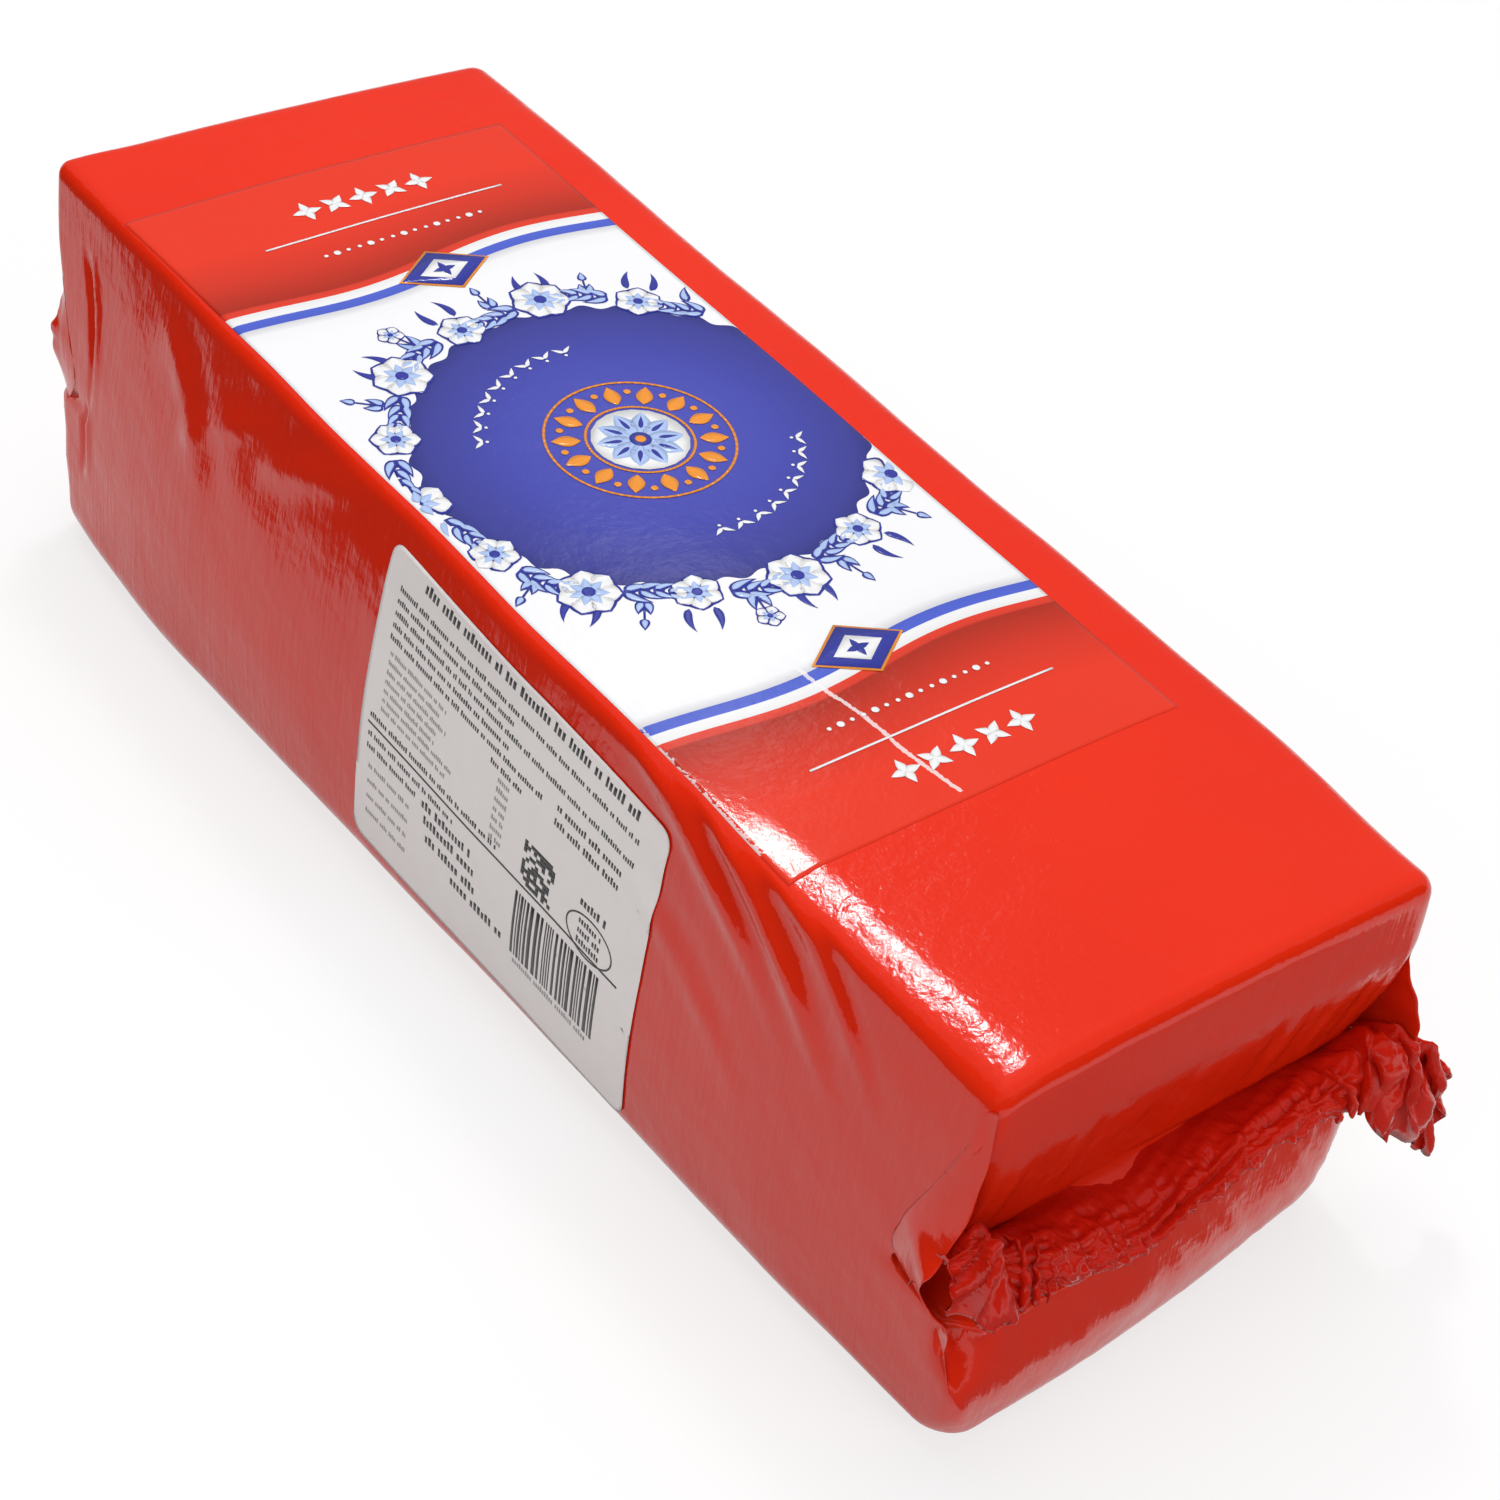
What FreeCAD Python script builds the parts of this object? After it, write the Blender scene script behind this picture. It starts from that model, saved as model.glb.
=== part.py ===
"""Whole Edam loaf shut in tight red film, with a printed top label and a side label.

The loaf lies along Y with the middle of its flat base on the origin and +Z up.
The film is drawn in to a crimped seal across each end and stands off the corners
there as dog ears. The film is shut all round, so cheese and film are one solid.
"""
import FreeCAD, Part

import math
import os

from FreeCAD import Vector

# Driving dimensions in millimetres.
loaf_length = 309.0
loaf_height = 89.5
left_front = 50.5    # half widths at the top edge, from the middle plane
left_back = 50.0
left_bow = 1.5       # how far each side bows out beyond its straight taper
right_front = 49.5
right_back = 52.0
right_bow = 2.5
base_flare = 2.0     # how much wider each side is at the base than at the top edge
side_crown = 2.5
top_crown = 1.0
top_edge_radius = 5.0
base_edge_radius = 9.0
corner_radius = 6.0
slack_corner_radius = 17.0    # the front right corner, where the film is slack

# Ends of the film, measured inwards from the end plane or up from the base.
seam_height = 38.0
seam_depth = 6.5
upper_panel_lean = 3.0
lower_panel_swell = 1.0

# Below the front seam the film stands out beyond the end plane, more on the left.
side_station = 50.0
front_lower_left = 3.5
front_lower_right = -2.5

# Crimped seals, and how far each stands out beyond the side of the loaf.
seal_depth = 12.0
seal_end_flare = 0.45    # share by which the seal is deeper at its ends
seal_root_depth = 9.0
seal_thickness = 1.1
seal_folds = 12
seal_ripple = 1.1
seal_end_ripple = 2.4
seal_left_tilt = 55.0
seal_right_tilt = 60.0
seal_twist_share = 0.3
front_left_seal = 2.0
front_right_seal = 22.0
back_left_seal = 3.0
back_right_seal = 6.0

# Dog ears, and how far each stands out beyond the side of the loaf.
front_left_ear = 8.0
front_right_ear = 14.0
back_left_ear = 2.0
back_right_ear = 4.0
front_left_ear_rise = 8.0    # this ear's tip stands above the seam
ear_top = 81.0
ear_foot = 14.0
ear_inset = 3.5
ear_root = 9.0
ear_edge = 1.6

# Labels.
label_thickness = 0.35
top_label_left = -49.5
top_label_right = 39.5
top_label_front = -95.0
top_label_back = 126.0
side_label_front = -66.5
side_label_back = 20.5
side_label_height = 71.5
side_label_drop = 8.5    # its top edge lies this far below the loaf's top
side_label_corner = 5.0
side_label_turn = 2.0    # stuck on a little crooked, in degrees

# Lengths that only need to be long enough for a clean cut.
overrun = 6.0
cutter_reach = 200.0
base_trim = 0.6
clearance = 0.4

half_length = loaf_length / 2


def half_width(y, side):
    """Loaf's width on one side of its middle plane: a taper and a bow along its length."""
    front, back, bow = (left_front, left_back, left_bow) if side < 0 else (right_front, right_back, right_bow)
    along = y / half_length
    return front + (back - front) * (along + 1) / 2 + bow * (1 - along * along)


def corner_round(side, end):
    """Radius of one upright corner."""
    return slack_corner_radius if (side, end) == (1, -1) else corner_radius


def arc_about(centre_x, centre_z, radius, first, last, y):
    """Arc in the plane of one station, between two angles in degrees from +X."""
    points = []
    for angle in (first, (first + last) / 2, last):
        turn = math.radians(angle)
        points.append(Vector(centre_x + radius * math.cos(turn), y, centre_z + radius * math.sin(turn)))
    return Part.Arc(*points).toShape()


def end_point(edge, last):
    """One end of an edge."""
    return edge.Vertexes[-1 if last else 0].Point


def side_arcs(y, side, grow):
    """One side's lower and upper corner arcs, and the middle point of the swell between them."""
    base_z = -base_trim - grow
    top_z = loaf_height + grow
    low = base_edge_radius + grow
    high = top_edge_radius + grow
    half = half_width(y, side) + grow
    flare_lean = math.degrees(math.atan(base_flare / (top_z - base_z)))
    side_lean = math.degrees(2 * math.atan(2 * side_crown / (top_z - base_z - low - high)))
    top_lean = math.degrees(2 * math.atan(top_crown / (half - high)))
    low_turn = side_lean - flare_lean
    high_turn = side_lean + flare_lean
    low_x = half + base_flare - low * math.cos(math.radians(low_turn))
    high_x = half - high * math.cos(math.radians(high_turn))
    high_z = top_z - high * math.cos(math.radians(top_lean))
    swell = Vector(side * (half + base_flare / 2 + side_crown), y, (base_z + top_z) / 2)
    if side > 0:
        lower = arc_about(low_x, base_z + low, low, -90, -low_turn, y)
        upper = arc_about(high_x, high_z, high, high_turn, 90 - top_lean, y)
    else:
        lower = arc_about(-low_x, base_z + low, low, 180 + low_turn, 270, y)
        upper = arc_about(-high_x, high_z, high, 90 + top_lean, 180 - high_turn, y)
    return lower, upper, swell


def loaf_section(y, grow):
    """Outline of the loaf at one station: crowned sides and top, rounded edges, flat base."""
    right_lower, right_upper, right_swell = side_arcs(y, 1, grow)
    left_lower, left_upper, left_swell = side_arcs(y, -1, grow)
    top_swell = Vector(0, y, loaf_height + grow + top_crown)
    return Part.Wire([
        right_lower,
        Part.Arc(end_point(right_lower, True), right_swell, end_point(right_upper, False)).toShape(),
        right_upper,
        Part.Arc(end_point(right_upper, True), top_swell, end_point(left_upper, False)).toShape(),
        left_upper,
        Part.Arc(end_point(left_upper, True), left_swell, end_point(left_lower, False)).toShape(),
        left_lower,
        Part.makeLine(end_point(left_lower, True), end_point(right_lower, False)),
    ])


def loaf_length_run(grow):
    """The loaf's sides, top and base run out past both ends, grown outwards by grow."""
    stations = 7
    reach = half_length + overrun
    sections = []
    for number in range(stations):
        sections.append(loaf_section(-reach + 2 * reach * number / (stations - 1), grow))
    return Part.makeLoft(sections, True, False)


def end_profile(lower_out):
    """Side view of the front end, from the base up: it leans in to the seam and swells below it.

    Its part below the seam stands out by lower_out more than the end plane.
    """
    end_y = -half_length
    low_y = end_y - lower_out
    top_z = loaf_height + top_crown + clearance
    share = 1 - math.sqrt(0.5)
    foot = Vector(0, low_y + lower_panel_swell + base_edge_radius, 0)
    low = Vector(0, low_y + lower_panel_swell, base_edge_radius)
    seam = Vector(0, end_y + seam_depth, seam_height)
    high = Vector(0, end_y + upper_panel_lean, top_z - top_edge_radius)
    over = Vector(0, end_y + upper_panel_lean + top_edge_radius, top_z)
    foot_middle = Vector(0, low.y + base_edge_radius * share, base_edge_radius * share)
    low_middle = Vector(0, low_y, (seam.z + low.z) / 2)
    high_middle = Vector(0, end_y + upper_panel_lean, (seam.z + high.z) / 2)
    over_middle = Vector(0, high.y + top_edge_radius * share, top_z - top_edge_radius * share)
    return [
        (foot, foot_middle, low),
        (low, low_middle, seam),
        (seam, high_middle, high),
        (high, over_middle, over),
    ]


def beyond_lines(start, finish, rise):
    """Three lines from start to finish that pass above or below the loaf."""
    up = Vector(0, 0, rise)
    corners = [start, start + up, finish + up, finish]
    return [Part.makeLine(*pair) for pair in zip(corners, corners[1:])]


def ends_outline(side):
    """Side view of both ends in one upright plane, well beyond one side of the loaf."""
    reach = side * cutter_reach / 2
    share = (reach / side_station + 1) / 2
    front = end_profile(front_lower_left + (front_lower_right - front_lower_left) * share)
    back = [[Vector(0, -point.y, point.z) for point in reversed(three)] for three in reversed(end_profile(0))]
    edges = [Part.Arc(*three).toShape() for three in front]
    edges += beyond_lines(front[-1][-1], back[0][0], overrun)
    edges += [Part.Arc(*three).toShape() for three in back]
    edges += beyond_lines(back[-1][-1], front[0][0], -overrun)
    wire = Part.Wire(edges)
    wire.translate(Vector(reach, 0, 0))
    return wire


def end_cutter():
    """Solid across the loaf with the side view of both ends, which changes from left to right."""
    return Part.makeLoft([ends_outline(-1), ends_outline(1)], True, True)


def plan_cutter():
    """Upright prism that rounds the four upright corners of the loaf and leaves its base flat."""
    outer_x = cutter_reach / 2
    outer_y = half_length + overrun
    arcs = []
    for side, end in ((-1, -1), (1, -1), (1, 1), (-1, 1)):
        radius = corner_round(side, end)
        reach_x = half_width(end * half_length, side) + base_flare + side_crown + clearance
        reach_y = half_length + clearance
        centre = Vector(side * (reach_x - radius), end * (reach_y - radius), 0)
        on_side = Vector(side * reach_x, centre.y, 0)
        on_end = Vector(centre.x, end * reach_y, 0)
        lean = Vector(side, end, 0).normalize()
        middle = centre + lean * radius
        beside = Vector(side * outer_x, centre.y, 0)
        beyond = Vector(centre.x, end * outer_y, 0)
        corner = [beside, on_side, middle, on_end, beyond]
        arcs.append(corner if side == end else corner[::-1])
    edges = []
    for number, corner in enumerate(arcs):
        edges.append(Part.makeLine(corner[0], corner[1]))
        edges.append(Part.Arc(*corner[1:4]).toShape())
        edges.append(Part.makeLine(corner[3], corner[4]))
        edges.append(Part.makeLine(corner[4], arcs[(number + 1) % 4][0]))
    return Part.Face(Part.Wire(edges)).extrude(Vector(0, 0, cutter_reach))


def closed_solid(faces):
    """Solid inside a closed set of faces."""
    solid = Part.Solid(Part.Shell(faces))
    if solid.Volume < 0:
        solid.reverse()
    return solid


def dog_ear(side, end, reach, rise):
    """Horn of film at one corner of one end, wide at the loaf and thin at its tip."""
    half = half_width(end * half_length, side)
    root_x = side * (half - ear_inset)
    face_y = end * (half_length - upper_panel_lean)
    back_y = face_y - end * ear_root
    groove = Vector(side * (half - corner_round(side, end)), back_y, seam_height)
    tip = Vector(side * (half + reach), face_y, seam_height + rise)
    tip_back = tip - Vector(0, end * ear_edge, 0)
    top = Vector(root_x, face_y - end * ear_edge, ear_top)
    top_back = Vector(root_x, back_y, ear_top)
    foot_x = side * (half - corner_round(side, end) / 2)
    foot = Vector(foot_x, face_y - end * ear_edge, ear_foot)
    foot_back = Vector(foot_x, back_y, ear_foot)
    corners = [
        (groove, top, tip), (groove, tip, foot),
        (groove, top_back, top), (groove, foot_back, top_back), (groove, foot, foot_back),
        (top, top_back, tip_back), (top, tip_back, tip),
        (foot, tip, tip_back), (foot, tip_back, foot_back),
        (top_back, foot_back, tip_back),
    ]
    return closed_solid([Part.Face(Part.makePolygon([*three, three[0]])) for three in corners])


def seal(end, left_reach, right_reach):
    """Crimped seal across one end: a strip gathered into folds that deepen to its outer edge."""
    left_x = -half_width(end * half_length, -1) - left_reach
    right_x = half_width(end * half_length, 1) + right_reach
    steps = seal_folds * 8
    rows = {"root_under": [], "root_over": [], "rim_under": [], "rim_over": []}
    for step in range(steps + 1):
        share = step / steps
        x = left_x + (right_x - left_x) * share
        towards_end = abs(2 * share - 1) ** 3
        ripple = seal_ripple + (seal_end_ripple - seal_ripple) * towards_end
        wave = ripple * math.sin(2 * math.pi * seal_folds * share)
        tilt = math.radians(seal_tilt(share))
        out = Vector(0, end * math.cos(tilt), math.sin(tilt))
        up = Vector(0, -end * math.sin(tilt), math.cos(tilt))
        root = Vector(x, end * (half_length - seal_root_depth), seam_height)
        rim = root + out * seal_depth * (1 + seal_end_flare * towards_end) + up * wave
        for name, centre in (("root", root), ("rim", rim)):
            rows[name + "_under"].append(centre - up * seal_thickness / 2)
            rows[name + "_over"].append(centre + up * seal_thickness / 2)
    curves = {}
    for name, points in rows.items():
        curve = Part.BSplineCurve()
        curve.interpolate(points)
        curves[name] = curve.toShape()
    loop = ["root_under", "rim_under", "rim_over", "root_over"]
    faces = []
    for number, name in enumerate(loop):
        faces.append(Part.makeRuledSurface(curves[name], curves[loop[(number + 1) % 4]]))
    for index in (0, -1):
        outline = [rows[name][index] for name in loop]
        faces.append(Part.Face(Part.makePolygon(outline + outline[:1])))
    return closed_solid(faces)


def seal_tilt(share):
    """How far the seal turns up (at its left end) or down (at its right end), in degrees."""
    return seal_left_tilt * max(0, 1 - share / seal_twist_share) ** 2 - seal_right_tilt * max(
        0, 1 - (1 - share) / seal_twist_share
    ) ** 2


def wrapped_loaf():
    """The loaf in its film, with its ends drawn in, its dog ears and its two crimped seals."""
    body = loaf_length_run(0).common(end_cutter()).common(plan_cutter())
    additions = [
        dog_ear(-1, -1, front_left_ear, front_left_ear_rise),
        dog_ear(1, -1, front_right_ear, 0),
        dog_ear(-1, 1, back_left_ear, 0),
        dog_ear(1, 1, back_right_ear, 0),
        seal(-1, front_left_seal, front_right_seal),
        seal(1, back_left_seal, back_right_seal),
    ]
    return body.fuse(additions).removeSplitter()


def film_skin():
    """Thin layer over the whole length of the loaf, for the labels to be cut from."""
    return loaf_length_run(label_thickness)


def top_label():
    """Printed sheet on the top, turned down over the rounded edge on its left."""
    width = top_label_right - top_label_left
    length = top_label_back - top_label_front
    corner = Vector(top_label_left, top_label_front, loaf_height / 2)
    cutter = Part.makeBox(width, length, loaf_height, corner)
    return film_skin().common(cutter).cut(loaf_length_run(0))


def side_label():
    """Sticker with rounded corners on the left side."""
    length = side_label_back - side_label_front
    base = loaf_height - side_label_drop - side_label_height
    corner = Vector(-cutter_reach / 2, side_label_front, base)
    cutter = Part.makeBox(cutter_reach / 2, length, side_label_height, corner)
    upright = [edge for edge in cutter.Edges if abs(edge.Vertexes[0].X - edge.Vertexes[-1].X) > 1]
    cutter = cutter.makeFillet(side_label_corner, upright)
    cutter.rotate(cutter.BoundBox.Center, Vector(1, 0, 0), side_label_turn)
    return film_skin().common(cutter).cut(loaf_length_run(0))


def main():
    os.makedirs("parts", exist_ok=True)
    nodes = {
        "wrapped_loaf": wrapped_loaf(),
        "top_label": top_label(),
        "side_label": side_label(),
    }
    for name, shape in nodes.items():
        solids = shape.Solids
        if len(solids) != 1 or not shape.isValid():
            raise RuntimeError(f"{name} came out as {len(solids)} solids, valid: {shape.isValid()}")
        solids[0].exportStep(f"parts/{name}.step")
        print(name, round(solids[0].Volume), "cubic millimetres")


main()
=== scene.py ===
"""A whole loaf of edam cheese in tight, glossy red film, with a printed sheet and a sticker."""
import math
import random

import bmesh
import bpy
from mathutils import Matrix, Vector, noise


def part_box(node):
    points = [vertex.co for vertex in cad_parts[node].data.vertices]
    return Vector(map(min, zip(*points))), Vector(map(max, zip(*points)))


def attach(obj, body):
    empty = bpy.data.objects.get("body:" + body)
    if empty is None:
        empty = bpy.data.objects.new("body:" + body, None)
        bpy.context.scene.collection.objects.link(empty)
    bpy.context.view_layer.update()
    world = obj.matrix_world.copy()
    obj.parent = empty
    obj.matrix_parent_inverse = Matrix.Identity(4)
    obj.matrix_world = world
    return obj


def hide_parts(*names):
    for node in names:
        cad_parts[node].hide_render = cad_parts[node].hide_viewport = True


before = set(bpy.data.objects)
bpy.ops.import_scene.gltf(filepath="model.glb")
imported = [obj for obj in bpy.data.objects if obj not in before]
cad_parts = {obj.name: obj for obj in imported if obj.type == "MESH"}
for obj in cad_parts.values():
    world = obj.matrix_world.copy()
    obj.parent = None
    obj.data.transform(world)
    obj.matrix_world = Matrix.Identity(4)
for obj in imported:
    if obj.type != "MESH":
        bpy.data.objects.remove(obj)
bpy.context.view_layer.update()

# ---------------------------------------------------------------------------
# Camera. It looks down on the loaf's near end from the left, rolled a little,
# so the loaf lies across the view from far left to near right.
# ---------------------------------------------------------------------------
mm = 0.001
camera_data = bpy.data.cameras.new("camera")
camera_data.sensor_width = 36.0
camera_data.lens = 85.0
camera_data.shift_x = -0.0467
camera = bpy.data.objects.new("camera", camera_data)
bpy.context.scene.collection.objects.link(camera)
camera_right = Vector((0.7860, -0.6065, 0.1201))
camera_up = Vector((0.3300, 0.5759, 0.7480))
camera_back = Vector((-0.5228, -0.5482, 0.6528))
camera_place = Vector((-347.4, -410.2, 493.1)) * mm
camera.location = camera_place
camera.rotation_euler = Matrix((camera_right, camera_up, camera_back)).transposed().to_euler()
bpy.context.scene.camera = camera
bpy.context.scene.view_settings.view_transform = "Standard"

# ---------------------------------------------------------------------------
# White floor and soft studio light: one large lamp overhead, weaker ones on the
# left and in front, two small ones behind that the film mirrors, and dark cards
# that shape its gloss. The floor glows a little, so that it stays white.
# ---------------------------------------------------------------------------
floor_radius = 3.0
floor_segments = 64
tone_seen, tone_lit = 0.92, 0.5
glow_seen, glow_mirrored = 0.72, 0.62
room_strength, backdrop_strength = 0.31, 1.0
pure_white = (1, 1, 1, 1)


def add_node(tree, kind, sockets=None, **settings):
    """New node; a socket is given a value or another node's output."""
    node = tree.nodes.new(kind)
    for name, value in settings.items():
        setattr(node, name, value)
    for name, value in (sockets or {}).items():
        if isinstance(value, bpy.types.NodeSocket):
            tree.links.new(value, node.inputs[name])
        else:
            node.inputs[name].default_value = value
    return node


def new_material(name):
    """Material with its node tree and its main shader."""
    material = bpy.data.materials.new(name)
    material.use_nodes = True
    tree = material.node_tree
    return material, tree, tree.nodes["Principled BSDF"]


def stage_piece(name, shape, material):
    """Object of the studio, which isn't part of the loaf."""
    mesh = bpy.data.meshes.new(name)
    shape.to_mesh(mesh)
    shape.free()
    piece = bpy.data.objects.new(name, mesh)
    bpy.context.scene.collection.objects.link(piece)
    mesh.materials.append(material)
    return piece


def object_coords(tree):
    return add_node(tree, "ShaderNodeTexCoord").outputs["Object"]


def grey(tone):
    return tone, tone, tone, 1


def mixed(tree, factor, first, second, blend="MIX"):
    """Colour between two colours."""
    inputs = {"Factor": factor, 6: first, 7: second}
    return add_node(tree, "ShaderNodeMix", inputs, data_type="RGBA", blend_type=blend).outputs[2]


def larger_of(tree, first, second):
    return add_node(tree, "ShaderNodeMath", {0: first, 1: second}, operation="MAXIMUM").outputs[0]


white_card, tree, _ = new_material("white_card")
tree.nodes.clear()
rays = add_node(tree, "ShaderNodeLightPath").outputs
card_tone = mixed(tree, rays["Is Camera Ray"], grey(tone_lit), grey(tone_seen))
lit = add_node(tree, "ShaderNodeBsdfDiffuse", {"Color": card_tone}).outputs[0]
glow = add_node(tree, "ShaderNodeEmission", {"Color": pure_white, "Strength": 1.0}).outputs[0]
mirrored = larger_of(tree, rays["Is Glossy Ray"], rays["Is Transmission Ray"])
shares = [
    add_node(tree, "ShaderNodeMath", {0: kind, 1: part}, operation="MULTIPLY").outputs[0]
    for kind, part in ((rays["Is Camera Ray"], glow_seen), (mirrored, glow_mirrored))
]
share = larger_of(tree, *shares)
card_mix = add_node(tree, "ShaderNodeMixShader", {0: share, 1: lit, 2: glow}).outputs[0]
add_node(tree, "ShaderNodeOutputMaterial", {"Surface": card_mix})

floor_shape = bmesh.new()
bmesh.ops.create_circle(floor_shape, cap_ends=True, segments=floor_segments, radius=floor_radius)
stage_piece("floor", floor_shape, white_card)

world = bpy.data.worlds.new("studio")
bpy.context.scene.world = world
world.use_nodes = True
tree = world.node_tree
tree.nodes.clear()
rays = add_node(tree, "ShaderNodeLightPath").outputs
room, backdrop = [
    add_node(tree, "ShaderNodeBackground", {"Color": pure_white, "Strength": strength}).outputs[0]
    for strength in (room_strength, backdrop_strength)
]
seen = larger_of(tree, rays["Is Camera Ray"], rays["Is Transmission Ray"])
world_mix = add_node(tree, "ShaderNodeMixShader", {0: seen, 1: room, 2: backdrop}).outputs[0]
add_node(tree, "ShaderNodeOutputWorld", {"Surface": world_mix})


def card_material(name, tone):
    """Matt grey of one tone."""
    material, _, shader = new_material(name)
    shader.inputs["Base Color"].default_value = grey(tone)
    shader.inputs["Roughness"].default_value = 1.0
    return material


black_card = card_material("black_card", 0.015)
# Grey card for painted shade: it stands for the floor's contact shadow in the film's gloss.
floor_shade_card = card_material("floor_shade_card", 0.20)


def flag(name, low, high, material=black_card):
    """Dark card in the studio: it shows in the gloss, and not to the camera."""
    shape = bmesh.new()
    bmesh.ops.create_cube(shape, size=1.0)
    bmesh.ops.scale(shape, vec=Vector(high) - Vector(low), verts=shape.verts)
    bmesh.ops.translate(shape, vec=(Vector(high) + Vector(low)) / 2, verts=shape.verts)
    card = stage_piece(name, shape, material)
    card.visible_camera = False
    card.visible_diffuse = False
    card.visible_shadow = False
    card.visible_transmission = False


flag("left_flag", (-0.37, -1.0, 0.0), (-0.36, 1.2, 0.5))
flag("low_flag", (-0.37, 0.06, 0.001), (-0.135, 1.2, 0.002))
flag("front_flag", (-0.36, -0.60, 0.0), (0.9, -0.59, 0.4))
# Grey card lying on the floor just in front of the loaf: painted shade for the floor's contact shadow
# there, which the lower panel of the near end mirrors.
flag("low_front_flag", (-0.10, -0.26, 0.001), (0.12, -0.166, 0.002), floor_shade_card)


def soft_lamp(name, place, target, size, watts, mirrored):
    """Rectangular lamp at a place, turned to a target; the film mirrors it or doesn't."""
    lamp_data = bpy.data.lights.new(name, "AREA")
    lamp_data.shape = "RECTANGLE"
    lamp_data.size, lamp_data.size_y = size
    lamp_data.energy = watts
    lamp = bpy.data.objects.new(name, lamp_data)
    bpy.context.scene.collection.objects.link(lamp)
    lamp.location = place
    lamp.rotation_euler = (Vector(target) - Vector(place)).to_track_quat("-Z", "Y").to_euler()
    lamp.visible_glossy = mirrored


soft_lamp("overhead_lamp", (0.2, 0.3, 1.7), (0, 0, 0), (1.4, 1.4), 17.0, False)
soft_lamp("left_lamp", (-1.2, -0.7, 1.0), (0, 0, 0.05), (0.9, 0.7), 6.1, False)
soft_lamp("front_lamp", (0.2, -1.5, 0.8), (0, -0.1, 0.05), (0.9, 0.6), 6.0, False)
soft_lamp("shoulder_lamp", (0.168, 0.314, 0.814), (-0.04, -0.12, 0.09), (0.10, 0.12), 1.6, True)
soft_lamp("sheen_lamp", (0.387, 0.47, 0.675), (-0.033, -0.08, 0.09), (0.10, 0.10), 0.05, True)

# ---------------------------------------------------------------------------
# The wrapped loaf: firm cheese pressed in a square mould, shrink-wrapped in a
# bag of red film. The film lies tight over crowned faces, turns small radii at
# the top edges and larger ones at the base, and is drawn in to a seam at each end.
# ---------------------------------------------------------------------------
loaf_low, loaf_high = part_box("wrapped_loaf")
seal_stand_out = 4.2 * mm
end_lean = 3.0 * mm
top_crown = 1.0 * mm
block_half_width = 50.0 * mm
block_half_length = (loaf_high.y - loaf_low.y) / 2 - seal_stand_out - end_lean
block_height = loaf_high.z - top_crown
top_edge_radius = 4.2 * mm
base_edge_radius = 9.0 * mm
film_cells = (64, 232, 72)

# Half widths at the top edge, front then back, and how far each side bows out.
left_side = (50.5 * mm, 50.0 * mm, 1.5 * mm)
right_side = (53.1 * mm, 51.6 * mm, 0.0)


def fade(value, start, stop):
    """0 at start, 1 at stop, with a smooth step between."""
    share = min(max((value - start) / (stop - start), 0.0), 1.0)
    return share * share * (3 - 2 * share)


def bell(value, centre, reach):
    """Smooth bump of height 1."""
    return math.exp(-(((value - centre) / reach) ** 2))


def mix(low, high, share):
    return low + (high - low) * share


# What the edge radius gains or loses: slack film low at the near right corner,
# tight film at the near left one, and a crisp top edge along the left side.
slack_radius = 5.0 * mm
tight_radius = 1.8 * mm
sharp_radius = 5.0 * mm
crisp_radius = 1.4 * mm
foot_height = 14.0 * mm


def corner_radius(x, y, z):
    """Radius of the film's edges near one point of the block."""
    up = z / block_height
    near = fade(-y, block_half_length - 30 * mm, block_half_length - 10 * mm)
    left = fade(-x, 30 * mm, 45 * mm)
    slack = near * fade(x, 10 * mm, 40 * mm) * (1 - fade(up, 0.45, 0.95))
    tight = near * left * bell(up, 0.6, 0.3)
    sharp = near * left * (1 - fade(up, 0.2, 0.45)) * fade(z, 0, foot_height)
    crisp = (1 - near) * left * fade(up, 0.7, 0.9)
    radius = mix(base_edge_radius, top_edge_radius, fade(up, 0.15, 0.6))
    radius += slack_radius * slack - tight_radius * tight
    return radius - sharp_radius * sharp - crisp_radius * crisp


def rounded_block(x, y, z, lift):
    """Point of the block with its edges rounded, and the direction that the film faces there."""
    radius = corner_radius(x, y, z)
    inner = Vector((
        min(max(x, radius - block_half_width), block_half_width - radius),
        min(max(y, radius - block_half_length), block_half_length - radius),
        min(max(z, radius), block_height - radius),
    ))
    facing = (Vector((x, y, z)) - inner).normalized()
    return inner + facing * (radius + lift), facing


def side_width(y, side):
    front, back, bow = right_side if side > 0 else left_side
    along = y / block_half_length
    return mix(front, back, (along + 1) / 2) + bow * (1 - along * along)


# The seam climbs a little from left to right. Above it the film is drawn in, and
# below it the near end swells out, most on the left.
seam_left, seam_right = 37.5 * mm, 41.5 * mm
near_swell_left, near_swell_right = 5.8 * mm, -1.3 * mm
far_swell = -1.2 * mm
upper_lean = 1.0 * mm
drawn_in = 6.5 * mm
lower_lean = 1.0 * mm
near_tuck, far_tuck = 2.0 * mm, 2.8 * mm
crease_depth = 2.2 * mm
ragged_share = 0.07


def seam_height(x):
    return mix(seam_left, seam_right, x / block_half_width / 2 + 0.5)


def unevenness(*spot):
    """Smooth random value from -1 to 1, the same on each run."""
    return noise.noise(Vector(spot))


def end_relief(x, z, front):
    """How far an end stands out: in to the seam from above, then out over the lower panel."""
    seam = seam_height(x)
    ragged = ragged_share * unevenness(x * 300, 0, 1) * bell(z, 62 * mm, 14 * mm)
    down = min(max((block_height - z) / (block_height - seam) + ragged, 0.0), 1.0)
    upper = -upper_lean * down - drawn_in * fade(down, 0.3, 1.0)
    if front:
        swell = mix(near_swell_left, near_swell_right, fade(x, -30 * mm, 56 * mm))
        tucked = near_tuck * (1 - fade(z, 0, 0.5 * seam))
    else:
        swell = far_swell
        tucked = far_tuck * (1 - fade(z, 0, seam))
    lower = swell - lower_lean * fade(z, 0.5 * seam, seam) - tucked
    crease = crease_depth * bell(z, seam + 1.5 * mm, 2.6 * mm)
    return mix(upper, lower, 1 - fade(z, seam - 2.5 * mm, seam + 0.5 * mm)) - crease


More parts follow.
